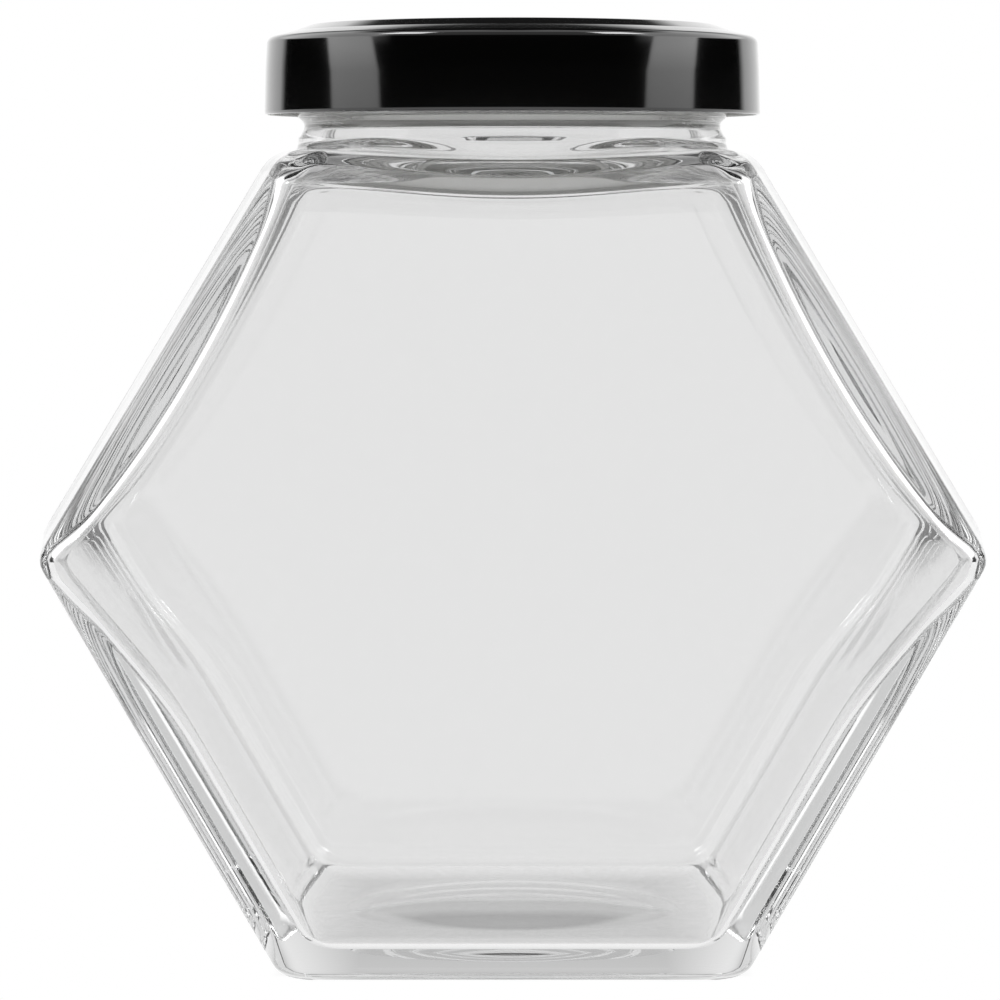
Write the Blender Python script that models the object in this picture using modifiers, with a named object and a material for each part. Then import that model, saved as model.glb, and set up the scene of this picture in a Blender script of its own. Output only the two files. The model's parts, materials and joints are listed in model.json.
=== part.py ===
"""Hexagonal glass jar with a black twist-off lid.

The body is a hexagonal prism lying on one of its narrow sides. Its front and back are flat six-sided
faces, and its four slanting side walls are widest on the mould's parting plane, half way between them.
A round waisted neck stands on the shoulder. The base is pushed up in the middle, so the jar rests on
the flat border round it. The lid is pressed from sheet: a raised ring round a sunk panel, a rounded
shoulder, a plain skirt and an edge curled inwards.

Metres, +Z up, front towards -Y, origin at the middle of the base. The sizes below are in millimetres.
"""

import math

import bmesh
import bpy

MM = 0.001

# Glass body
BODY_DEPTH = 75.0  # between the two flat faces
BODY_TOP = 115.3  # height of the flat shoulder
RIDGE_Z = 58.8  # height of the two side ridges, where the jar is widest
RIDGE_HALF = 69.85  # half width at the ridges, before rounding
BASE_HALF = 36.1  # half width of the base, before rounding
SHOULDER_HALF = 35.4  # half width of the shoulder, before rounding
SIDE_DRAFT = 3.8  # each side wall is this much further in at the flat faces than half way between
RIM_ROUND = 3.0  # rounding where the flat faces meet the sides, the base and the shoulder
RIDGE_ROUND = 1.9  # set-back of the rounding along the side ridges
SHOULDER_ROUND = 1.0  # the same along the shoulder's two ends
HEEL_ROUND = 2.1  # the same along the base's two ends

# Glass thickness
FACE_WALL = 2.7  # the flat faces
LOWER_WALL = 4.0  # the two lower sides, where the glass sinks while it is soft
UPPER_WALL = 3.6  # the two upper sides
FLOOR = 4.4  # the base
ROOF = 3.2  # the shoulder

# Pushed-up base
PUSH_UP_LONG = 24.0  # half length, along X
PUSH_UP_SHORT = 16.0  # half length, along Y
PUSH_UP_RISE = 3.0

# Neck and mouth
FLARE_R = 34.0  # where the neck spreads into the shoulder
WAIST_R = 30.5
WAIST_Z = 119.3
BEAD_R = 31.6  # the step just under the lid
MOUTH_R = 33.2  # outside of the mouth, under the lid
BORE_R = 27.6
LIP_Z = 132.5

# Lid
SHEET = 0.35
LID_R = 36.25
LID_TOP = 134.3
PANEL_DROP = 1.1  # the panel lies this far below the top of the ring
PANEL_R = 26.6
RING_R = 29.4  # outer edge of the ring's flat top
RING_FOOT_R = 32.1  # where the ring slopes down to the lid's shoulder
SHOULDER_DROP = 1.5  # the lid's shoulder lies this far below the top of the ring
SKIRT_FLARE = 0.45
LID_BOTTOM = 120.9
CURL_R = 0.55

ROUND_STEPS = 48  # facets round the neck and lid
FILLET_STEPS = 4  # facets across a rounding of the body
PRESSED_STEPS = 3  # the same for a turned profile
BOOLEAN_ROOM = 6.0  # how far a cutter or a joined piece reaches past the surface it works on


def colour(hex_code):
    """A display colour such as 1A2B3C as the linear values that a material takes."""
    channels = [int(hex_code[i : i + 2], 16) / 255 for i in (0, 2, 4)]
    return [c / 12.92 if c <= 0.04045 else ((c + 0.055) / 1.055) ** 2.4 for c in channels] + [1.0]


def principled(name, hex_code, roughness, metallic=0.0, transmission=0.0):
    material = bpy.data.materials.new(name)
    material.use_nodes = True
    shader = material.node_tree.nodes["Principled BSDF"]
    shader.inputs["Base Color"].default_value = colour(hex_code)
    shader.inputs["Roughness"].default_value = roughness
    shader.inputs["Metallic"].default_value = metallic
    shader.inputs["Transmission Weight"].default_value = transmission
    shader.inputs["IOR"].default_value = 1.52 if transmission else 1.45
    return material


def collection(name, hidden=False):
    made = bpy.data.collections.new(name)
    made.hide_render = hidden
    bpy.context.scene.collection.children.link(made)
    return made


def add_object(name, bm, home):
    """The bmesh, given in millimetres, as an object in metres."""
    bmesh.ops.scale(bm, vec=(MM, MM, MM), verts=bm.verts)
    mesh = bpy.data.meshes.new(name)
    bm.to_mesh(mesh)
    bm.free()
    made = bpy.data.objects.new(name, mesh)
    home.objects.link(made)
    return made


def rounded(corners, steps=PRESSED_STEPS):
    """A path through (r, z, fillet radius) corners, each corner turned into an arc."""
    path = [corners[0][:2]]
    for before, (r, z, radius), after in zip(corners, corners[1:-1], corners[2:]):
        into = math.atan2(z - before[1], r - before[0])
        turn = math.atan2(after[1] - z, after[0] - r) - into
        turn = math.remainder(turn, math.tau)
        setback = radius * math.tan(abs(turn) / 2)
        side = math.copysign(radius, turn)
        start_r = r - setback * math.cos(into)
        start_z = z - setback * math.sin(into)
        centre_r = start_r - side * math.sin(into)
        centre_z = start_z + side * math.cos(into)
        for step in range(steps + 1):
            heading = into + turn * step / steps
            path.append((centre_r + side * math.sin(heading), centre_z - side * math.cos(heading)))
    path.append(corners[-1][:2])
    return path


def turned(name, path, home):
    """A surface of revolution about Z: the (r, z) path and a Screw modifier."""
    bm = bmesh.new()
    points = [bm.verts.new((r, 0, z)) for r, z in path]
    for start, end in zip(points, points[1:]):
        bm.edges.new((start, end))
    made = add_object(name, bm, home)
    screw = made.modifiers.new("Turn", "SCREW")
    screw.steps = screw.render_steps = ROUND_STEPS
    screw.use_merge_vertices = True
    screw.merge_threshold = 1e-5
    return made


def side_line(end_half, rise, wall):
    """A right-hand side wall, set in by the wall thickness, as its slope and its x at base or shoulder."""
    slope = (RIDGE_HALF - end_half) / rise
    return slope, end_half - wall * math.hypot(1, slope)


def hexagon(lower_wall, upper_wall, floor, roof):
    """The six (x, z) corners of the body's outline, set in by these thicknesses."""
    lower, base_x = side_line(BASE_HALF, RIDGE_Z, lower_wall)
    upper, top_x = side_line(SHOULDER_HALF, BODY_TOP - RIDGE_Z, upper_wall)
    ridge_z = (upper * BODY_TOP + top_x - base_x) / (lower + upper)
    right = [
        (base_x + lower * floor, floor),
        (base_x + lower * ridge_z, ridge_z),
        (top_x + upper * roof, BODY_TOP - roof),
    ]
    return right + [(-x, z) for x, z in reversed(right)]


def hex_prism(name, outline, depth, home):
    """A lying hexagonal prism with drafted sides and rounded edges, mirrored from its front half."""
    bm = bmesh.new()
    middle = bm.faces.new([bm.verts.new((x, 0, z)) for x, z in outline])
    pulled = bmesh.ops.extrude_face_region(bm, geom=[middle])["geom"]
    front = [v for v in pulled if isinstance(v, bmesh.types.BMVert)]
    for vert in front:
        vert.co.x -= math.copysign(SIDE_DRAFT, vert.co.x)
        vert.co.y = -depth / 2
    # The sheet it was pulled from would close the half at the mirror plane.
    bmesh.ops.delete(bm, geom=[f for f in bm.faces if all(v.co.y == 0 for v in f.verts)], context="FACES_ONLY")
    bmesh.ops.recalc_face_normals(bm, faces=bm.faces)

    base_z = min(v.co.z for v in bm.verts)
    shoulder_z = max(v.co.z for v in bm.verts)
    end_rounds = {base_z: HEEL_ROUND, shoulder_z: SHOULDER_ROUND}
    weight = bm.edges.layers.float.new("bevel_weight_edge")
    for edge in bm.edges:
        a, b = edge.verts
        if a.co.y != b.co.y:
            edge[weight] = end_rounds.get(a.co.z, RIDGE_ROUND) / RIM_ROUND
        elif a.co.y:
            edge[weight] = 1.0

    made = add_object(name, bm, home)
    mirror = made.modifiers.new("Back half", "MIRROR")
    mirror.use_axis = (False, True, False)
    mirror.merge_threshold = 1e-5
    bevel = made.modifiers.new("Rounding", "BEVEL")
    bevel.limit_method = "WEIGHT"
    bevel.width = RIM_ROUND * MM
    bevel.segments = FILLET_STEPS
    return made


def dome(name, z, half_x, half_y, half_z, home):
    """A flattened ball for the pushed-up base."""
    bm = bmesh.new()
    bmesh.ops.create_uvsphere(bm, u_segments=32, v_segments=16, radius=1)
    bmesh.ops.scale(bm, vec=(half_x, half_y, half_z), verts=bm.verts)
    bmesh.ops.translate(bm, vec=(0, 0, z), verts=bm.verts)
    return add_object(name, bm, home)


def combine(target, operation, other):
    boolean = target.modifiers.new(f"{operation.title()} {other.name}", "BOOLEAN")
    boolean.operation = operation
    boolean.object = other
    other.display_type = "WIRE"
    other.hide_render = True


def neck_path():
    """Outside of the neck from the middle of the mouth down to its foot inside the shoulder."""
    return rounded(
        [
            (0, LIP_Z, 0),
            (MOUTH_R, LIP_Z, 1.6),
            (MOUTH_R, WAIST_Z + 4.4, 0.5),
            (BEAD_R, WAIST_Z + 3.4, 0.5),
            (BEAD_R, WAIST_Z + 1.6, 0.8),
            (WAIST_R, WAIST_Z + 0.3, 0.8),
            (WAIST_R + 0.3, WAIST_Z - 2.2, 1.6),
            (FLARE_R, BODY_TOP + 0.1, 0.6),
            (FLARE_R, BODY_TOP - 0.8, 0),
        ]
    ) + [(0, BODY_TOP - 0.8)]


def bore_path():
    """Inside of the neck, from above the lip down into the hollow."""
    return rounded(
        [
            (0, LIP_Z + BOOLEAN_ROOM, 0),
            (BORE_R + 1.8, LIP_Z + BOOLEAN_ROOM, 0),
            (BORE_R + 1.8, LIP_Z - 1.0, 1.0),
            (BORE_R + 0.6, LIP_Z - 2.4, 1.0),
            (BORE_R, WAIST_Z + 1.0, 4.0),
            (BORE_R, WAIST_Z - 2.0, 4.0),
            (BORE_R + 3.0, BODY_TOP - ROOF - 0.6, 0),
        ]
    ) + [(BORE_R + 3.0, BODY_TOP - ROOF - BOOLEAN_ROOM), (0, BODY_TOP - ROOF - BOOLEAN_ROOM)]


def glass_jar(parts, cutters):
    jar = hex_prism("glass_jar", hexagon(0, 0, 0, 0), BODY_DEPTH, parts)
    neck = turned("neck", neck_path(), cutters)
    inner_outline = hexagon(LOWER_WALL, UPPER_WALL, FLOOR, ROOF)
    hollow = hex_prism("hollow", inner_outline, BODY_DEPTH - 2 * FACE_WALL, cutters)
    bore = turned("bore", bore_path(), cutters)
    crown = dome("crown", FLOOR, PUSH_UP_LONG + 2, PUSH_UP_SHORT + 2, PUSH_UP_RISE, cutters)
    push_up = dome("push_up", 0, PUSH_UP_LONG, PUSH_UP_SHORT, PUSH_UP_RISE, cutters)
    combine(jar, "UNION", neck)
    combine(jar, "DIFFERENCE", hollow)
    combine(jar, "DIFFERENCE", bore)
    combine(jar, "UNION", crown)
    combine(jar, "DIFFERENCE", push_up)
    jar.data.materials.append(principled("clear glass", "E9EDEC", 0.02, transmission=1.0))
    return jar


def lid_path():
    """Outside of the lid from the middle of its panel to the end of the curled edge."""
    panel_z = LID_TOP - PANEL_DROP
    shoulder_z = LID_TOP - SHOULDER_DROP
    pressed = rounded(
        [
            (0, panel_z, 0),
            (PANEL_R, panel_z, 0.6),
            (PANEL_R + 1.0, LID_TOP, 0.5),
            (RING_R, LID_TOP, 0.8),
            (RING_FOOT_R, shoulder_z + 0.15, 0.5),
            (LID_R - SKIRT_FLARE, shoulder_z - 0.15, 1.6),
            (LID_R, LID_BOTTOM + CURL_R, 0),
        ]
    )
    curl_steps = 6
    curl_turn = math.radians(230)
    for step in range(1, curl_steps + 1):
        angle = -curl_turn * step / curl_steps
        r = LID_R - CURL_R + CURL_R * math.cos(angle)
        pressed.append((r, LID_BOTTOM + CURL_R + CURL_R * math.sin(angle)))
    return pressed


def lid(parts):
    made = turned("lid", lid_path(), parts)
    solidify = made.modifiers.new("Sheet", "SOLIDIFY")
    solidify.thickness = SHEET * MM
    solidify.offset = -1.0
    made.data.materials.append(principled("black lacquered steel", "0B0B0C", 0.12))
    return made


def main():
    for old in list(bpy.data.objects):
        bpy.data.objects.remove(old)
    parts = collection("hexagonal_jar")
    cutters = collection("hexagonal_jar_cutters", hidden=True)
    for made in (glass_jar(parts, cutters), lid(parts)):
        for face in made.data.polygons:
            face.use_smooth = True


main()
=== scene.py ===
# %% [markdown]
# # A hexagonal glass jar with a black twist-off lid
#
# The jar is blown in a two-part mould. Its body is a six-sided prism lying on one narrow side, with
# flat faces at the front and back, and a round neck on top. The lid is pressed from tinplate and
# lacquered black. Clear glass shows little of itself: what the eye reads is how its edges bend
# light. So most of the work here is in the shape of the outer and the inner wall, and in what
# stands round the jar to be bent.

# %% Load the solids that this scene dresses
import json
import math

import bmesh
import bpy
import numpy as np
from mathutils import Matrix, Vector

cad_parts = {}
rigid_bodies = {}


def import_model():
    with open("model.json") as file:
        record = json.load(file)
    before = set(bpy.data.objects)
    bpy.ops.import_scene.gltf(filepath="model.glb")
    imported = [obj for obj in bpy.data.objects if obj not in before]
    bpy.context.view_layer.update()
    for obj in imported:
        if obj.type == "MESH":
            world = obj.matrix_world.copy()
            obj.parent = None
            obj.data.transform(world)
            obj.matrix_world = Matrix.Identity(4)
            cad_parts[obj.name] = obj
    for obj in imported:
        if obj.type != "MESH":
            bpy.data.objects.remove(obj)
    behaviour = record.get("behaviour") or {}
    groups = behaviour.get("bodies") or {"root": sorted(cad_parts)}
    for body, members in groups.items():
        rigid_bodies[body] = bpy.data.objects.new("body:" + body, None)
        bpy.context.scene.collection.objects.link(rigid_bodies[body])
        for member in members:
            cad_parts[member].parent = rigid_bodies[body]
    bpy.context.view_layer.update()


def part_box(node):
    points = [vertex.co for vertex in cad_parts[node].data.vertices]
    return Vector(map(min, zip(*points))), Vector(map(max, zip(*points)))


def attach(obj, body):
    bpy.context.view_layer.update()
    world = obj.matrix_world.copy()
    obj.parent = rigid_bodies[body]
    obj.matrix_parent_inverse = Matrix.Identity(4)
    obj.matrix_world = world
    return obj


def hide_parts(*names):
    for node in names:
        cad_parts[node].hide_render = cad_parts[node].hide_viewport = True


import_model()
MM = 0.001
jar_low, jar_high = (np.array(corner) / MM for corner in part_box("glass_jar"))
lid_low, lid_high = (np.array(corner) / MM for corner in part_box("lid"))
print("glass, mm:", (jar_high - jar_low).round(1), " lid, mm:", (lid_high - lid_low).round(1))

# %% [markdown]
# ## Sizes
#
# Everything below is in millimetres and starts from the solids, so the dressed jar can't drift away
# from them. A prism like this needs few numbers: how wide it is at the ridges, how wide at the base
# and shoulder, how deep, and how much the side walls lean in towards the flat faces so that the
# mould opens.

# %% Driving sizes of the jar and lid
HALF_DEPTH = jar_high[1]
RIDGE_ROUND = 3.2  # radius along the two side ridges
RIDGE_HALF = jar_high[0] + 0.53  # half width before that rounding
RIDGE_Z = 58.8
BODY_TOP = 115.8
BASE_HALF = 36.1  # half width of the base before rounding
SHOULDER_HALF = 35.1  # half width of the shoulder before rounding
HEEL_ROUND, SHOULDER_ROUND = 3.6, 5.5  # corners of the hexagon at the base and at the shoulder
SIDE_DRAFT = 3.8  # side walls stand this much further in at the flat faces
RIM_ROUND = 4.2  # where the flat faces meet the sides
FACE_HEEL_ROUND, FACE_TOP_ROUND = 1.6, 2.0  # where the flat faces meet the base and the shoulder
LIP_Z = jar_high[2]
LID_R = lid_high[0]
CREST_DROP = 0.35  # the pressed ring's crest is this much below the solid's top
LID_TOP = lid_high[2] - CREST_DROP
LID_BOTTOM = lid_low[2]
print("ridge half width", round(RIDGE_HALF, 2), "lip height", round(LIP_Z, 2))

# %% [markdown]
# ## Outlines with rounded corners
#
# A glass edge is never sharp, because hot glass pulls itself round. An outline is easiest to write
# as a few corners, each with a radius, and to turn into arcs afterwards. The same helper draws the
# body's outline, the profile of the neck and the pressed profile of the lid.


# %% A path of corners turned into arcs
def rounded(corners, steps):
    """Points along (x, z, radius) corners, with an arc of that radius at each corner."""
    path = [corners[0][:2]]
    for before, (x, z, radius), after in zip(corners, corners[1:-1], corners[2:]):
        into = math.atan2(z - before[1], x - before[0])
        turn = math.remainder(math.atan2(after[1] - z, after[0] - x) - into, math.tau)
        setback = radius * math.tan(abs(turn) / 2)
        side = math.copysign(radius, turn)
        centre_x = x - setback * math.cos(into) - side * math.sin(into)
        centre_z = z - setback * math.sin(into) + side * math.cos(into)
        for step in range(steps + 1):
            heading = into + turn * step / steps
            path.append((centre_x + side * math.sin(heading), centre_z - side * math.cos(heading)))
    path.append(corners[-1][:2])
    return np.array(path)


def smoothstep(low, high, value):
    """0 below low, 1 above high, and a smooth S in between."""
    t = np.clip((value - low) / (high - low), 0, 1)
    return t * t * (3 - 2 * t)


# %% The body from the front and from the side
ARC_STEPS = 24
outline = rounded(
    [
        (0, 0, 0),
        (BASE_HALF, 0, HEEL_ROUND),
        (RIDGE_HALF, RIDGE_Z, RIDGE_ROUND),
        (SHOULDER_HALF, BODY_TOP, SHOULDER_ROUND),
        (0, BODY_TOP, 0),
    ],
    ARC_STEPS,
)
side_view = rounded(
    [
        (0, 0, 0),
        (HALF_DEPTH, 0, FACE_HEEL_ROUND),
        (HALF_DEPTH, BODY_TOP, FACE_TOP_ROUND),
        (0, BODY_TOP, 0),
    ],
    ARC_STEPS,
)
print("body outline points:", len(outline), "widest", outline[:, 0].max().round(2))

# %% [markdown]
# ## Level rings
#
# The body is six-sided seen from the front, but cut level it is always a rectangle with rounded
# corners, and the neck is a circle. So both walls can be built as one stack of level rings, like a
# lathe whose section changes from a rectangle to a circle. Each ring has the same number of points,
# laid out in the same order, so neighbouring rings join with plain quads and the surface stays
# smooth where it changes.

# %% One level ring
ON_SIDE, ON_CORNER, ON_FACE = 12, 10, 14  # a quarter's points: side wall, rounded corner, face
SEAM_HALF, SEAM_RISE = 0.35, 0.05  # the mould seam stands proud on the middle of each side
PLAIN_FROM = 2.4  # further out than this, a side wall's points are evenly spaced
OWN_WAY = 0.75  # a circle keeps this share of another ring's spacing, and evens out the rest


def quarter(half_x, half_y, draft, corner, soft=0.0, seam=0.0):
    """A quarter of a ring, from the middle of a side wall round the corner to that of a flat face.

    The side wall leans in by draft on its way to the face. With soft at 0 it is straight and meets
    the other quarter in a slight ridge; above 0 it curves there, as a blown inner wall does.
    """
    end = math.hypot(1, soft)
    turn = math.atan2(half_y, -draft / (end * (end - soft)))  # the wall's direction at the corner
    bend_y = half_y - corner * math.tan((math.pi - turn) / 2) * math.sin(turn)
    plain = np.linspace(PLAIN_FROM, bend_y, ON_SIDE - 3)
    y = np.concatenate([[0, SEAM_HALF, 2 * SEAM_HALF], plain])
    lean = (np.hypot(y / half_y, soft) - soft) / (end - soft)
    side = np.column_stack([half_x - draft * lean, y])
    side[:2, 0] += seam * np.array((1, 0.5))
    centre = side[-1] + corner * np.array((-math.sin(turn), math.cos(turn)))
    angles = np.linspace(turn - math.pi / 2, math.pi / 2, ON_CORNER + 1)[1:]
    bend = centre + corner * np.column_stack([np.cos(angles), np.sin(angles)])
    face_x = bend[-1, 0] * np.linspace(1, 0, ON_FACE + 1)[1:]
    return np.vstack([side, bend, np.column_stack([face_x, np.full(ON_FACE, half_y)])])


def whole_ring(rear, front):
    """A closed ring from its rear and its front quarter, both mirrored to the left."""
    return np.vstack([rear, rear[-2::-1] * (-1, 1), front[1:] * (-1, -1), front[-2:0:-1] * (1, -1)])


def circle_ring(radius, like):
    """A circle whose points lie nearly in the directions of another ring's."""
    angles = np.unwrap(np.arctan2(like[:, 1], like[:, 0]))
    even = np.linspace(0, math.tau, len(like), endpoint=False)
    angles = OWN_WAY * angles + (1 - OWN_WAY) * even
    return radius * np.column_stack([np.cos(angles), np.sin(angles)])


sample = quarter(60, HALF_DEPTH, SIDE_DRAFT, RIM_ROUND)
print("points in a ring:", len(whole_ring(sample, sample)))


# %% Stack rings into a wall
AT_ENDS, AT_RIDGE, BETWEEN = 11, 9, 22  # levels at each end, round the ridge and in between
RIDGE_REACH = 3  # levels are crowded this far below and above the ridge
TOP_CROWD = 3.4  # the outer wall's levels are crowded this far below the shoulder


def level(ring, z):
    """A ring lifted to height z, which is a number or one value a point."""
    return np.column_stack([ring, np.broadcast_to(z, len(ring))])


def merged_levels(low, high, low_round, high_round):
    """Heights from low to high, crowded where the wall rounds over: at both ends and the ridge."""
    turn = np.linspace(0, math.pi / 2, AT_ENDS)
    bottom = low + low_round * (1 - np.cos(turn))
    top = high - high_round * (1 - np.cos(turn[::-1]))
    ridge = np.linspace(RIDGE_Z - RIDGE_REACH, RIDGE_Z + RIDGE_REACH, AT_RIDGE)
    lower = np.linspace(bottom[-1], ridge[0], BETWEEN)[1:-1]
    upper = np.linspace(ridge[-1], top[0], BETWEEN)[1:-1]
    return np.concatenate([bottom, lower, ridge, upper, top])


def dipped(ring, z, depth, low, high):
    """A level ring whose middle sags by depth near the height high, and not at all below low."""
    reach = np.clip(np.abs(ring[:, 0]) / SHOULDER_HALF, 0, 1)
    return level(ring, z - depth * smoothstep(low, high, z) * np.cos(reach * math.pi / 2) ** 2)


levels = merged_levels(0, BODY_TOP, HEEL_ROUND, TOP_CROWD)
print("levels in the outer wall:", len(levels))

# %% [markdown]
# ## The outer wall
#
# The body's rings follow two outlines at once: the hexagon gives each ring its width, and the plain
# side view its depth. Where the round neck meets the shoulder the mould has a smooth fillet, which
# is one curve for each point of the ring, leaving the neck straight down and meeting the shoulder
# level. The base is pushed up in the middle, so the jar can't rock on a bulge and stands on the
# border alone.

# %% Base, body and shoulder of the outer wall
PUSH_UP_LONG, PUSH_UP_SHORT, PUSH_UP_RISE = 24.0, 16.0, 3.0
DOME_STEPS, DOME_POWER = 9, 2.6  # a push-up is flat in its middle and steeper at its edge
NECK_FOOT_R, NECK_FOOT_Z = 31.3, 117.5
RIM_DIP = 1.4  # the front and back edges of the shoulder sag this much in the middle
RIM_DIP_FROM = BODY_TOP - 16  # and begin to sag here
SHOULDER_DROP, SHOULDER_STEPS = 0.62, 8  # how long the fillet keeps its first direction


def body_ring(z):
    """The outer wall cut level at height z, with tighter corners where the faces round over."""
    half_x = np.interp(z, outline[1:-1, 1], outline[1:-1, 0])
    half_y = np.interp(z, side_view[1:-1, 1], side_view[1:-1, 0])
    corner = max(RIM_ROUND - 0.7 * (HALF_DEPTH - half_y), 0.8)
    part = quarter(half_x, half_y, SIDE_DRAFT, corner, seam=SEAM_RISE)
    return dipped(whole_ring(part, part), z, RIM_DIP, RIM_DIP_FROM, BODY_TOP)


def oval_ring(half_x, half_y, like):
    """An oval whose points keep the directions of those of another ring, in its own proportions."""
    x, y = like.T
    angles = np.arctan2(y / np.abs(y).max(), x / np.abs(x).max())
    return np.column_stack([half_x * np.cos(angles), half_y * np.sin(angles)])


def pushed_up(edge_ring, edge_z, long, short, rise, lip):
    """Rings from the middle of a dome out over its edge to edge_ring, which lies flat at edge_z.

    The first flat ring follows the dome's edge at a share lip of the way out to edge_ring.
    """
    rings = []
    for share in np.linspace(0.12, 1, DOME_STEPS):
        height = rise * (1 - share**DOME_POWER)
        rings.append(level(oval_ring(long * share, short * share, edge_ring), edge_z + height))
    border = rings[-1][:, :2]
    for share in (lip, 0.5, 0.9):
        rings.append(level(border + share * (edge_ring[:, :2] - border), edge_z))
    return rings


def fillet_rings(inner, outer, drop_share, steps, rise=0.0):
    """Rings from a level ring on a neck out to one on a shoulder: down at first, then outwards.

    They meet the shoulder level, or rising inwards by rise for each mm: one number, or one a point.
    """
    down = np.zeros_like(inner)
    down[:, 2] = (outer[:, 2] - inner[:, 2]) * drop_share
    out = (outer - inner) * (1, 1, 0)
    handle_in, handle_out = inner + down, outer - out * drop_share
    handle_out[:, 2] += rise * np.hypot(out[:, 0], out[:, 1]) * drop_share
    rings = []
    for t in np.linspace(0, 1, steps + 2)[1:-1]:
        near = (1 - t) ** 3 * inner + 3 * (1 - t) ** 2 * t * handle_in
        rings.append(near + 3 * (1 - t) * t**2 * handle_out + t**3 * outer)
    return rings


body_rings = [body_ring(z) for z in levels]
base_rings = pushed_up(body_rings[0][:, :2], 0.0, PUSH_UP_LONG, PUSH_UP_SHORT, PUSH_UP_RISE, 0.12)
neck_foot = level(circle_ring(NECK_FOOT_R, body_rings[-1][:, :2]), NECK_FOOT_Z)
shoulder_rings = fillet_rings(neck_foot, body_rings[-1], SHOULDER_DROP, SHOULDER_STEPS)[::-1]
print("outer rings:", len(base_rings) + len(body_rings) + len(shoulder_rings))

# %% [markdown]
# ## Neck and mouth
#
# The neck has a waist that a gloved hand or a filling line can grip, a small bead above it, and the
# wider mouth under the lid. The rim of the mouth is fire-polished: a flame melts it smooth and
# round.

# %% Profile of the neck, outside up to the lip and inside down again
BORE_R = 27.6
WAIST_R, WAIST_Z = 30.45, 119.3
neck_profile = rounded(
    [
        (NECK_FOOT_R, NECK_FOOT_Z, 0),
        (WAIST_R, WAIST_Z - 0.5, 1.4),
        (WAIST_R, WAIST_Z + 0.5, 0.8),
        (31.3, 120.5, 0.5),
        (31.4, 122.3, 0.8),
        (33.2, 123.6, 0.8),
        (33.2, LIP_Z, 1.5),
        (29.4, LIP_Z, 1.4),
        (28.2, LIP_Z - 3.0, 2.0),
        (BORE_R, 122.5, 3.0),
        (BORE_R - 0.2, 119.6, 3.0),
        (BORE_R + 0.6, 117.0, 0),
    ],
    6,
)
neck_rings = [level(circle_ring(r, body_rings[-1][:, :2]), z) for r, z in neck_profile]
print("neck rings:", len(neck_rings))

# %% [markdown]
# ## The inner wall
#
# Glass is blown outwards against the mould, and the parts that travel furthest cool thinnest. So
# the wall is thin along the ridges and thick in the middle of each side, and the inner outline bows
# away from the straight outer one. Seen from the front those bows are the most telling lines of the
# jar. The lower sides and the floor are heavier, because glass sinks while it is soft, and each
# side thins towards the rear face, so that the rear edges of the hollow hide behind the front ones.
# Under the shoulder the wall of the two faces leans in towards the neck, and that slope throws the
# light from under the lid forwards.

# %% Thickness of the wall and the rings of the hollow
FACE_WALL = 2.7
FLOOR_Z, ROOF_Z = 4.0, 113.8
ROOF_DIP = 1.9  # the roof of the hollow sags this much behind the front and back edges
ROOF_DIP_FROM = ROOF_Z - 22
SLANT_FROM, SLANT = 111.3, 0.72  # the faces' inner wall leans in from here on, by this slope
RIDGE_WALL = 1.1  # at the side ridges
BOW_WALL = 3.6  # extra in the middle of each upper side
HEEL_WALL = 4.4  # extra down on the lower sides
REAR_WALL = 1.9  # the sides thin towards this at the rear face
THINNED_LOW, THINNED_HIGH = 0.5, 0.55  # the share of the lower and upper wall that thins this way
EDGE_FRONT, EDGE_REAR, EDGE_SIDE = 2.2, 3.0, 3.0  # blown corners are rounded by chance, not alike
RIDGE_SOFT = 1.5  # how softly the inner wall turns at the ridges
INNER_SOFT = 0.35  # and along the middle of each side
SLANT_SOFT = 0.25  # and where the slant under the shoulder starts

lower_slope = (RIDGE_HALF - BASE_HALF) / RIDGE_Z
upper_slope = (RIDGE_HALF - SHOULDER_HALF) / (BODY_TOP - RIDGE_Z)
print("the sides' slope below and above the ridge:", round(lower_slope, 3), round(upper_slope, 3))


def side_walls(z):
    """Thickness of the lower and of the upper side at height z, halfway between the faces."""
    below = (RIDGE_Z - z) / RIDGE_Z
    above = np.clip((z - RIDGE_Z) / (BODY_TOP - RIDGE_Z), 0, 1) ** 0.8
    lower_wall = RIDGE_WALL + HEEL_WALL * smoothstep(-0.05, 0.45, below)
    upper_wall = RIDGE_WALL + BOW_WALL * 4 * above * (1 - above)
    return lower_wall, upper_wall


def inner_half_width(z):
    """Half width of the hollow at height z, rounded over at the ridge."""
    lower_wall, upper_wall = side_walls(z)
    lower = BASE_HALF + lower_slope * z - lower_wall * math.hypot(1, lower_slope)
    upper = SHOULDER_HALF + upper_slope * (BODY_TOP - z) - upper_wall * math.hypot(1, upper_slope)
    return -RIDGE_SOFT * np.log(np.exp(-lower / RIDGE_SOFT) + np.exp(-upper / RIDGE_SOFT))


def softplus(value, soft):
    """The value where it is above 0 and 0 below, rounded over in between."""
    return soft * math.log1p(math.exp(min(value / soft, 50.0)))


def rounded_ends(z, radius):
    """How far the hollow draws in at height z to round its floor and roof corners."""
    near = np.minimum(z - FLOOR_Z, ROOF_Z - z)
    return radius - np.sqrt(np.clip(radius**2 - np.clip(radius - near, 0, None) ** 2, 0, None))


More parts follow.
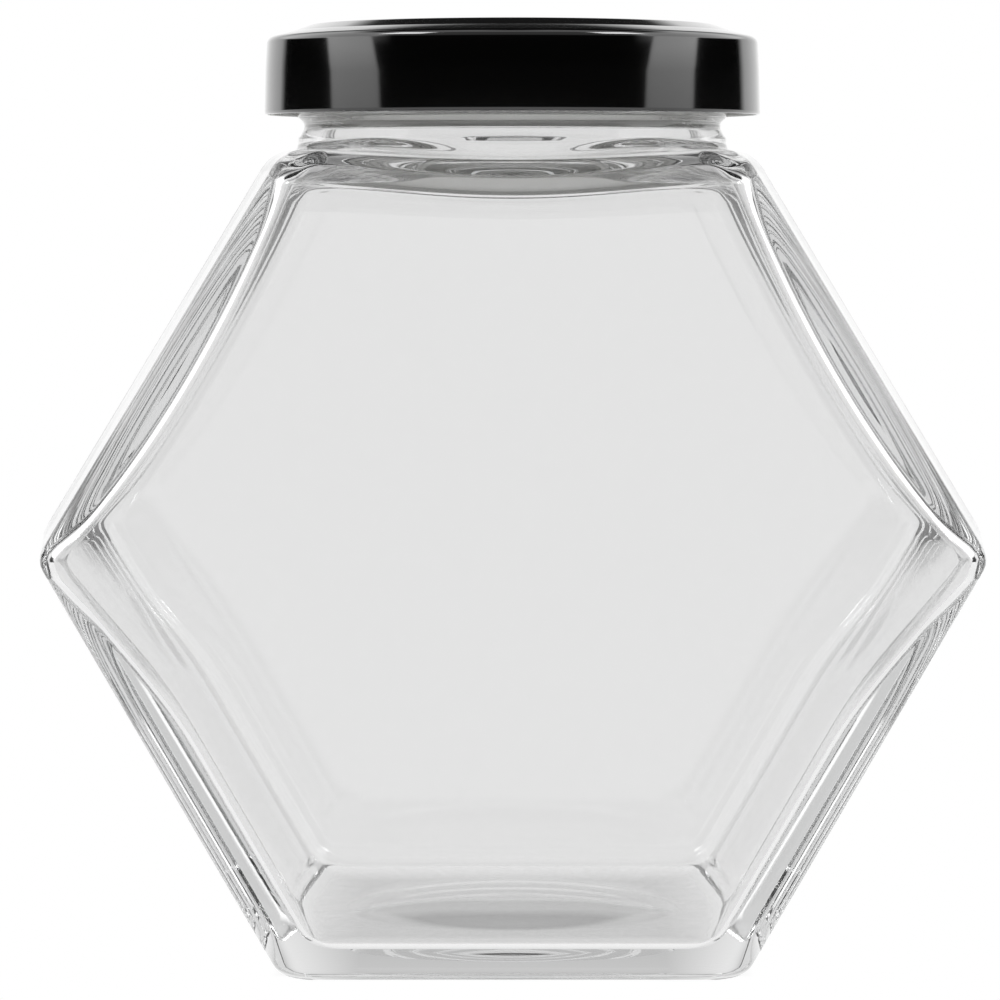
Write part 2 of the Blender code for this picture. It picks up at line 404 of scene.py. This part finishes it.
def hollow_ring(z):
    """The inner wall cut level at height z. Its rear half stands further out than its front."""
    half_x = inner_half_width(z) - rounded_ends(z, EDGE_SIDE)
    lower_wall, upper_wall = side_walls(z)
    lower_share = THINNED_LOW + (1 - THINNED_LOW) * smoothstep(0.6, 0.88, z / RIDGE_Z)
    thinned = lower_share * lower_wall if z < RIDGE_Z else THINNED_HIGH * upper_wall
    spare = thinned * math.hypot(1, lower_slope) - REAR_WALL
    parts = []
    slant = SLANT * softplus(z - SLANT_FROM, SLANT_SOFT)
    for edge, draft in ((EDGE_REAR, SIDE_DRAFT - max(spare, 0.0)), (EDGE_FRONT, SIDE_DRAFT)):
        lean_in = rounded_ends(z, edge) if z < RIDGE_Z else slant
        half_y = HALF_DEPTH - FACE_WALL - lean_in
        parts.append(quarter(half_x, half_y, draft, edge, soft=INNER_SOFT))
    return dipped(whole_ring(*parts), z, ROOF_DIP, ROOF_DIP_FROM, ROOF_Z)


# %% Floor, sides and roof of the hollow
INNER_LONG, INNER_SHORT, INNER_RISE = 24.0, 19.5, 1.8  # the push-up seen from inside
ROOF_DROP, ROOF_STEPS = 0.6, 20
ROOF_RISE = 0.4  # towards the faces the roof keeps rising inwards, by this slope

hollow_levels = merged_levels(FLOOR_Z, ROOF_Z, EDGE_SIDE, EDGE_SIDE)
hollow_rings = [hollow_ring(z) for z in hollow_levels[::-1]]
mouth_ring = neck_rings[-1]
mouth_x, mouth_y = mouth_ring[:, :2].T
rise = ROOF_RISE * smoothstep(0.6, 0.9, np.abs(mouth_y) / np.hypot(mouth_x, mouth_y))
roof_rings = fillet_rings(mouth_ring, hollow_rings[0], ROOF_DROP, ROOF_STEPS, rise)
border = hollow_rings[-1][:, :2]
floor_rings = pushed_up(border, FLOOR_Z, INNER_LONG, INNER_SHORT, INNER_RISE, 0.2)[::-1]
print("inner rings:", len(roof_rings) + len(hollow_rings) + len(floor_rings))


# %% Join the rings into one closed shell of glass
def shell_from_rings(name, rings):
    """A closed mesh from a stack of rings, with a fan of triangles at each end."""
    count = len(rings[0])
    points = np.vstack([rings[0].mean(axis=0), *rings, rings[-1].mean(axis=0)])
    quads = []
    for row in range(len(rings) - 1):
        first = 1 + row * count
        for k in range(count):
            n = (k + 1) % count
            quads.append((first + k, first + n, first + count + n, first + count + k))
    last = 1 + (len(rings) - 1) * count
    fans = [(0, 1 + (k + 1) % count, 1 + k) for k in range(count)]
    fans += [(len(points) - 1, last + k, last + (k + 1) % count) for k in range(count)]
    mesh = bpy.data.meshes.new(name)
    mesh.from_pydata((points * MM).tolist(), [], quads + fans)
    mesh.shade_smooth()
    made = bpy.data.objects.new(name, mesh)
    bpy.context.scene.collection.objects.link(made)
    return made


outer_rings = base_rings + body_rings + shoulder_rings
inner_rings = roof_rings + hollow_rings + floor_rings
jar = shell_from_rings("jar_shell", outer_rings + neck_rings + inner_rings)
bm = bmesh.new()
bm.from_mesh(jar.data)
open_edges = sum(len(edge.link_faces) != 2 for edge in bm.edges)
print("glass:", len(bm.faces), "faces,", open_edges, "open edges")
print("glass to melt, ml:", round(bm.calc_volume() * 1e6, 1))
bm.free()

# %% [markdown]
# ## Materials: four small helpers
#
# Colours are easiest to read as the hex values a paint program shows, but a shader wants linear
# light, so one function converts them. A pattern is easiest to judge by the length of its waves,
# but a noise wants to know how many fit in a metre. The third helper adds a node, sets its values
# and links its inputs, and the last one starts a material.


# %% Colour and node helpers
def linear(hex_code):
    """The linear colour for an sRGB hex code."""
    colour = []
    for start in (0, 2, 4):
        c = int(hex_code[start : start + 2], 16) / 255
        colour.append(c / 12.92 if c <= 0.04045 else ((c + 0.055) / 1.055) ** 2.4)
    return (*colour, 1.0)


def per_metre(wave):
    """How many waves fit in a metre, for a pattern whose waves are so many mm long."""
    return 1 / (wave * MM)


def add(tree, kind, links=None, values=None, **settings):
    """A node with its settings, its plain values and what feeds it: {input: socket}."""
    node = tree.nodes.new(kind)
    for name, value in settings.items():
        setattr(node, name, value)
    for name, value in (values or {}).items():
        node.inputs[name].default_value = value
    for name, socket in (links or {}).items():
        tree.links.new(socket, node.inputs[name])
    return node


def new_material(name):
    """A material, its node tree and its Principled shader."""
    material = bpy.data.materials.new(name)
    material.use_nodes = True
    return material, material.node_tree, material.node_tree.nodes["Principled BSDF"]


print("white in linear light:", linear("FFFFFF")[0])

# %% [markdown]
# ## Soda-lime glass
#
# Jar glass is soda-lime glass, clear, with a refractive index near 1.52. Its surface is
# fire-bright, so it has no roughness, but it isn't optically flat: it cools against a cast-iron
# mould and keeps a faint waviness, which a weak bump gives in streaks about 7 cm long and 1 cm
# wide, so that highlights waver. A little light is lost at each wall, which the base colour does,
# and a trace of iron takes some more along the way through the glass. The volume does that, so the
# thick heel and edges look greyer: after 8 cm of glass about three quarters of the light is left.

# %% Clear jar glass
STREAK_LONG, STREAK_WIDE = 71.4, 8.33
IRON_DENSITY = 6.8  # each colour loses this times (1 - its tint) per metre
glass, tree, shader = new_material("soda_lime_glass")
place = add(tree, "ShaderNodeTexCoord").outputs["Object"]
streaks = (per_metre(STREAK_LONG), per_metre(STREAK_WIDE), per_metre(STREAK_LONG))
drawn = add(tree, "ShaderNodeMapping", {"Vector": place}, {"Scale": streaks}).outputs["Vector"]
swell = add(tree, "ShaderNodeTexNoise", {"Vector": drawn}, {"Scale": 1.0, "Detail": 1.0})
broad = add(
    tree,
    "ShaderNodeBump",
    {"Height": swell.outputs["Fac"]},
    {"Strength": 0.1, "Distance": 0.6 * MM},
)
tree.links.new(broad.outputs["Normal"], shader.inputs["Normal"])
shader.inputs["Base Color"].default_value = linear("F1F1F1")
shader.inputs["Transmission Weight"].default_value = 1.0
shader.inputs["IOR"].default_value = 1.52
shader.inputs["Roughness"].default_value = 0.0
iron = add(
    tree,
    "ShaderNodeVolumeAbsorption",
    None,
    {"Color": linear("BBBCBC"), "Density": IRON_DENSITY},
)
tree.links.new(iron.outputs["Volume"], tree.nodes["Material Output"].inputs["Volume"])
jar.data.materials.append(glass)
print("glass nodes:", len(tree.nodes))

# %% [markdown]
# ## The lid
#
# The lid is stamped from one disc of tinplate: a sunk panel that clicks down when the jar is
# sealed, a raised ring over the mouth's rim, a rounded shoulder, a plain skirt, and a cut edge
# curled in so that it can't cut a hand. That is one profile turned round an axis, which is a rule,
# so Geometry Nodes make it: the profile is swept round a circle as wide as the lid, and its two
# ends meet on the axis.


# %% Profile of the pressed sheet
SHEET = 0.25
CURL_R, CURL_TURN = 0.32, 235  # the cut edge is curled in by so many degrees
CURL_STEPS = 15
PANEL_SUNK = 1.1
FACETS = 192


def pressed_side(offset):
    """One face of the sheet from the axis to the curl, moved in by offset from the outer face."""
    panel_z = LID_TOP - PANEL_SUNK
    return rounded(
        [
            (0, panel_z - offset, 0),
            (26.6 + offset * 0.9, panel_z - offset, 0.6 + offset),
            (27.6 + offset * 0.9, LID_TOP - offset, 0.55 - offset * 0.5),
            (29.6 - offset * 0.3, LID_TOP - offset, 2.2 - offset),
            (32.3 - offset * 0.3, LID_TOP - 1.0 - offset, 0.6 + offset),
            (LID_R - 0.42 - offset, LID_TOP - 1.9 - offset, 1.1 - offset),
            (LID_R - 0.16 - offset, LID_TOP - 6.5, 60.0),
            (LID_R - offset, LID_BOTTOM + CURL_R + 0.25, 0),
            (LID_R - offset, LID_BOTTOM + CURL_R, 0),
        ],
        7,
    )


def curled_edge(radius):
    """One face of the curl, from where it leaves the skirt to the cut edge."""
    centre_r, centre_z = LID_R - CURL_R, LID_BOTTOM + CURL_R
    angles = -math.radians(CURL_TURN) * np.linspace(0, 1, CURL_STEPS)
    return np.column_stack([centre_r + radius * np.cos(angles), centre_z + radius * np.sin(angles)])


outside = np.vstack([pressed_side(0.0), curled_edge(CURL_R)[1:]])
inside = np.vstack([curled_edge(CURL_R - SHEET)[::-1], pressed_side(SHEET)[-2::-1]])
sheet_profile = np.vstack([outside, inside])
print("profile points:", len(sheet_profile))


# %% A Geometry Nodes lathe
def group_socket(tree, name, kind, value=None, way="INPUT"):
    """A named input or output of the tree."""
    socket = tree.interface.new_socket(name, in_out=way, socket_type=kind)
    if value is not None:
        socket.default_value = value
    return socket


def lathe_tree(material, inner_material):
    """Sweeps the incoming profile round the Z axis: X is added to the radius, Y points down.

    Faces between profile points that carry the attribute "inside" take the inner material.
    """
    tree = bpy.data.node_groups.new("Lathe", "GeometryNodeTree")
    group_socket(tree, "Profile", "NodeSocketGeometry")
    group_socket(tree, "Radius", "NodeSocketFloat", 0.03)
    group_socket(tree, "Facets", "NodeSocketInt", FACETS)
    group_socket(tree, "Geometry", "NodeSocketGeometry", way="OUTPUT")
    given = add(tree, "NodeGroupInput")
    path = add(
        tree,
        "GeometryNodeCurvePrimitiveCircle",
        {"Resolution": given.outputs["Facets"], "Radius": given.outputs["Radius"]},
    )
    line = add(tree, "GeometryNodeMeshToCurve", {"Mesh": given.outputs["Profile"]})
    swept = add(
        tree,
        "GeometryNodeCurveToMesh",
        {"Curve": path.outputs["Curve"], "Profile Curve": line.outputs["Curve"]},
    )
    merged = add(
        tree,
        "GeometryNodeMergeByDistance",
        {"Geometry": swept.outputs["Mesh"]},
        {"Distance": 1e-6},
    )
    real = add(tree, "GeometryNodeRealizeInstances", {"Geometry": merged.outputs["Geometry"]})
    painted = add(
        tree,
        "GeometryNodeSetMaterial",
        {"Geometry": real.outputs["Geometry"]},
        {"Material": material},
    )
    is_inside = add(
        tree,
        "GeometryNodeInputNamedAttribute",
        None,
        {"Name": "inside"},
        data_type="BOOLEAN",
    )
    lined = add(
        tree,
        "GeometryNodeSetMaterial",
        {"Geometry": painted.outputs["Geometry"], "Selection": is_inside.outputs["Attribute"]},
        {"Material": inner_material},
    )
    add(tree, "NodeGroupOutput", {"Geometry": lined.outputs["Geometry"]})
    return tree


def made_by_nodes(name, start, tree, values):
    """The plain mesh that a Geometry Nodes tree makes from a start mesh, its inputs set by name."""
    maker = bpy.data.objects.new(name + "_maker", start)
    bpy.context.scene.collection.objects.link(maker)
    modifier = maker.modifiers.new("Nodes", "NODES")
    modifier.node_group = tree
    for item in tree.interface.items_tree:
        if item.name in values:
            modifier[item.identifier] = values[item.name]
    bpy.context.view_layer.update()
    evaluated = maker.evaluated_get(bpy.context.evaluated_depsgraph_get())
    mesh = bpy.data.meshes.new_from_object(evaluated)
    bpy.data.objects.remove(maker)
    mesh.name = name
    made = bpy.data.objects.new(name, mesh)
    bpy.context.scene.collection.objects.link(made)
    return made


# %% [markdown]
# ## Black lacquer on tinplate
#
# The sheet is lacquered flat and baked before it is stamped, so the black coat is glassy, level and
# thin, with faint dents and an orange peel, which is drawn a little coarser than a real one so that
# it shows. The face that meets the food has a pale lacquer instead, matt and a little mottled. It
# matters more than it shows: the neck gathers its light and carries it down to the shoulder.

# %% Black lacquer
PEEL_WAVE, DENT_WAVE = 3.85, 16.7
lacquer, tree, shader = new_material("black_lacquered_tinplate")
place = add(tree, "ShaderNodeTexCoord").outputs["Object"]
peel_scale, dent_scale = per_metre(PEEL_WAVE), per_metre(DENT_WAVE)
peel = add(tree, "ShaderNodeTexNoise", {"Vector": place}, {"Scale": peel_scale, "Detail": 2.0})
dents = add(tree, "ShaderNodeTexNoise", {"Vector": place}, {"Scale": dent_scale, "Detail": 1.0})
large = add(
    tree,
    "ShaderNodeBump",
    {"Height": dents.outputs["Fac"]},
    {"Strength": 0.25, "Distance": 0.3 * MM},
)
small = add(
    tree,
    "ShaderNodeBump",
    {"Height": peel.outputs["Fac"], "Normal": large.outputs["Normal"]},
    {"Strength": 0.12, "Distance": 0.1 * MM},
)
tree.links.new(small.outputs["Normal"], shader.inputs["Normal"])
shader.inputs["Base Color"].default_value = linear("030303")
shader.inputs["Roughness"].default_value = 0.12
shader.inputs["Specular IOR Level"].default_value = 0.4
shader.inputs["Coat Weight"].default_value = 1.0
shader.inputs["Coat Roughness"].default_value = 0.03
print("lacquer nodes:", len(tree.nodes))

# %% White inner lacquer
MOTTLE_WAVE = 2.5
liner, tree, shader = new_material("white_inner_lacquer")
place = add(tree, "ShaderNodeTexCoord").outputs["Object"]
mottle_scale = per_metre(MOTTLE_WAVE)
mottle = add(tree, "ShaderNodeTexNoise", {"Vector": place}, {"Scale": mottle_scale, "Detail": 2.0})
uneven = add(
    tree,
    "ShaderNodeBump",
    {"Height": mottle.outputs["Fac"]},
    {"Strength": 0.15, "Distance": 0.1 * MM},
)
tree.links.new(uneven.outputs["Normal"], shader.inputs["Normal"])
shader.inputs["Base Color"].default_value = linear("F9F9F6")
shader.inputs["Roughness"].default_value = 0.35
print("inner lacquer nodes:", len(tree.nodes))

# %% Turn the profile into the lid
CURL_END = 8  # this many points of the outer face curl out of sight and have the inner lacquer
profile_mesh = bpy.data.meshes.new("lid_profile")
profile_points = [((r - LID_R) * MM, -z * MM, 0) for r, z in sheet_profile]
profile_edges = [(i, i + 1) for i in range(len(profile_points) - 1)]
profile_mesh.from_pydata(profile_points, profile_edges, [])
mark = profile_mesh.attributes.new("inside", "BOOLEAN", "POINT")
mark.data.foreach_set("value", [k >= len(outside) - CURL_END for k in range(len(profile_points))])
lathe = lathe_tree(lacquer, liner)
lid = made_by_nodes("lid_pressing", profile_mesh, lathe, {"Radius": LID_R * MM, "Facets": FACETS})
lid.data.shade_smooth()
low, high = np.array(lid.bound_box)[[0, 6]] / MM
print("lid:", len(lid.data.polygons), "faces, from", low.round(2), "to", high.round(2))

# %% [markdown]
# ## The studio
#
# Clear glass looks its best in a bright field: a white ground and a white sweep behind it, which
# the walls let through, and black all round the camera, which their edges bend into view as dark
# lines. A dim tent hangs over the jar, side fills light its flanks, a small lamp on each side draws
# the glint on the lid's ring, and two tall soft boxes beside the jar, which lean a little away from
# the camera, draw the grey bands on the lid. All of this is far away compared with the jar, so it
# is painted on the world by direction: the angle round the jar from the camera's side, and the
# height. What a camera sees past the jar is plain white.

# %% An empty world and helpers for light by direction
world = bpy.data.worlds.new("bright_field_studio")
world.use_nodes = True
bpy.context.scene.world = world
tree = world.node_tree
tree.nodes.clear()


def maths_in(tree, operation, *given):
    """A Math node on sockets or plain numbers."""
    node = tree.nodes.new("ShaderNodeMath")
    node.operation = operation
    for slot, value in enumerate(given):
        if isinstance(value, (int, float)):
            node.inputs[slot].default_value = value
        else:
            tree.links.new(value, node.inputs[slot])
    return node.outputs[0]


def maths(operation, *given):
    """A Math node in the world."""
    return maths_in(world.node_tree, operation, *given)


def brightest(*lights):
    """The strongest of several lights in each direction."""
    light = lights[0]
    for other in lights[1:]:
        light = maths("MAXIMUM", light, other)
    return light


def fading(value, *stops):
    """A brightness that runs through stops of (position, brightness), both from 0 to 1."""
    node = add(world.node_tree, "ShaderNodeValToRGB", {"Fac": value})
    ramp = node.color_ramp
    for number, (position, bright) in enumerate(stops):
        stop = ramp.elements[number] if number < 2 else ramp.elements.new(position)
        stop.position = position
        stop.color = (bright, bright, bright, 1)
    return node.outputs["Color"]


def turned(angle):
    """Degrees round the jar from the camera's side, as a share of half a turn."""
    return angle / 180


def raised(angle):
    """Degrees above the horizon, as the height of a direction one unit long."""
    return math.sin(math.radians(angle))


def patch(around, strength, round_stops, up_stops):
    """A light that fades by its angle round the jar and by its height.

    Both lists hold (degrees, brightness) stops, in the order of the degrees.
    """
    across = fading(around, *[(turned(angle), bright) for angle, bright in round_stops])
    upwards = fading(height, *[(raised(angle), bright) for angle, bright in up_stops])
    return maths("MULTIPLY", maths("MULTIPLY", across, strength), upwards)


direction = add(tree, "ShaderNodeTexCoord").outputs["Generated"]
parts = add(tree, "ShaderNodeSeparateXYZ", {"Vector": direction})
height = parts.outputs["Z"]
sideways = maths("ABSOLUTE", parts.outputs["X"])
forwards = maths("MULTIPLY", parts.outputs["Y"], -1.0)
round_angle = maths("DIVIDE", maths("ARCTAN2", sideways, forwards), math.pi)
print("world nodes before any light:", len(tree.nodes))

# %% The lights that stand straight
tent = patch(
    round_angle,
    1.0,
    [(80, 1), (100, 0)],
    [(14, 0), (20, 0.35), (54, 0.35), (60, 1), (80, 1), (85, 0)],
)
side_fill = patch(
    round_angle,
    1.8,
    [(58, 0), (68, 1), (134, 1), (145, 0.7), (165, 0)],
    [(10, 0), (15, 1), (48, 1), (56, 0)],
)
sweep = patch(
    round_angle,
    1.0,
    [(130, 0), (136, 0.9), (155, 0.9), (168, 1)],
    [(0, 1), (22, 1), (27, 0.02)],
)
lamp = patch(
    round_angle,
    10.0,
    [(46, 0), (49, 1), (72, 1), (76, 0)],
    [(34, 0), (37, 1), (53, 1), (55, 0)],
)
print("world nodes with four lights:", len(tree.nodes))

# %% The soft boxes lean, so their angle round the jar changes with the height
UPRIGHT_AT, LEAN_STOPS_AT, LEAN = 0.14, 0.3, 0.2  # two heights of a direction, and the slope
up_to = maths("MINIMUM", height, LEAN_STOPS_AT)
leaning = maths("MULTIPLY", maths("SUBTRACT", UPRIGHT_AT, up_to), LEAN)
softbox = patch(
    maths("ADD", round_angle, leaning),
    2.5,
    [(65.4, 0), (67.4, 1), (94, 1), (96, 0)],
    [(0, 0.40), (9, 0.95), (14, 1), (22, 0.4)],
)
print("world nodes with the soft boxes:", len(tree.nodes))

# %% All the lights together
below = maths("LESS_THAN", height, 0.0)
seen_directly = add(tree, "ShaderNodeLightPath").outputs["Is Camera Ray"]
light = brightest(tent, sweep, side_fill, softbox, lamp, below, seen_directly)
backdrop = add(tree, "ShaderNodeBackground", {"Strength": light}, {"Color": linear("FFFFFF")})
add(tree, "ShaderNodeOutputWorld", {"Surface": backdrop.outputs[0]})
print("world nodes:", len(tree.nodes))

# %% [markdown]
# ## Floor and camera
#
# The jar stands on a sheet of white acrylic that glows, as on a light table. Under the jar its glow
# is dimmed, which is a painted contact shadow. The camera stands a little over half a metre away,
# about as high as the shoulder, and looks slightly down. Light takes many turns inside thick glass,
# so the paths may bounce more often than usual.

# %% Floor
TABLE_R = 6.0  # metres
# Painted contact shadow: the floor glows at 0.6 within 22 mm of the middle, at full beyond 34 mm
PAINTED_SHADOW_UNDER_JAR = {"From Min": 22 * MM, "From Max": 34 * MM, "To Min": 0.6, "To Max": 1.0}
bpy.ops.mesh.primitive_circle_add(vertices=96, radius=TABLE_R, fill_type="NGON")
floor = bpy.context.object
floor.name = "acrylic_table"
acrylic, tree, shader = new_material("lit_white_acrylic_painted_shadow")
shader.inputs["Base Color"].default_value = linear("000000")
shader.inputs["Roughness"].default_value = 0.5
shader.inputs["Specular IOR Level"].default_value = 0.0
shader.inputs["Emission Color"].default_value = linear("FFFFFF")
place = add(tree, "ShaderNodeTexCoord").outputs["Object"]
spot = add(tree, "ShaderNodeSeparateXYZ", {"Vector": place})
distances = [maths_in(tree, "ABSOLUTE", spot.outputs[axis]) for axis in "XY"]
across = maths_in(tree, "MAXIMUM", *distances)
# the painted shadow under the jar, from its square distance to the middle
painted_jar_shadow = add(tree, "ShaderNodeMapRange", {"Value": across}, PAINTED_SHADOW_UNDER_JAR)
tree.links.new(painted_jar_shadow.outputs["Result"], shader.inputs["Emission Strength"])
floor.data.materials.append(acrylic)
print("floor nodes:", len(tree.nodes))

# %% Camera
CAMERA_AWAY = 563.0
CAMERA_HEIGHT = 111.3
CAMERA_SIDE = -1.8
CAMERA_TILT = 4.77  # degrees below level
BOUNCES = 24
camera = bpy.data.objects.new("camera", bpy.data.cameras.new("camera"))
camera.data.lens = 137.6
camera.data.sensor_width = 36.0
camera.location = (CAMERA_SIDE * MM, -CAMERA_AWAY * MM, CAMERA_HEIGHT * MM)
camera.rotation_euler = (math.radians(90 - CAMERA_TILT), 0, 0)
bpy.context.scene.collection.objects.link(camera)
bpy.context.scene.camera = camera
bpy.context.scene.view_settings.view_transform = "Standard"
light_paths = bpy.context.scene.cycles
light_paths.max_bounces = light_paths.glossy_bounces = light_paths.transmission_bounces = BOUNCES
print("camera", tuple(round(c, 3) for c in camera.location))

# %% [markdown]
# ## Into the frame
#
# Each mesh rides the body that its solid belongs to and takes the solid's place.

# %% Hand the pieces to the frame, once the start-up objects are gone
for old in [o for o in bpy.data.objects if o.name in ("Cube", "Light", "Camera")]:
    bpy.data.objects.remove(old)
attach(jar, "root")
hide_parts("glass_jar")
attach(lid, "root")
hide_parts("lid")
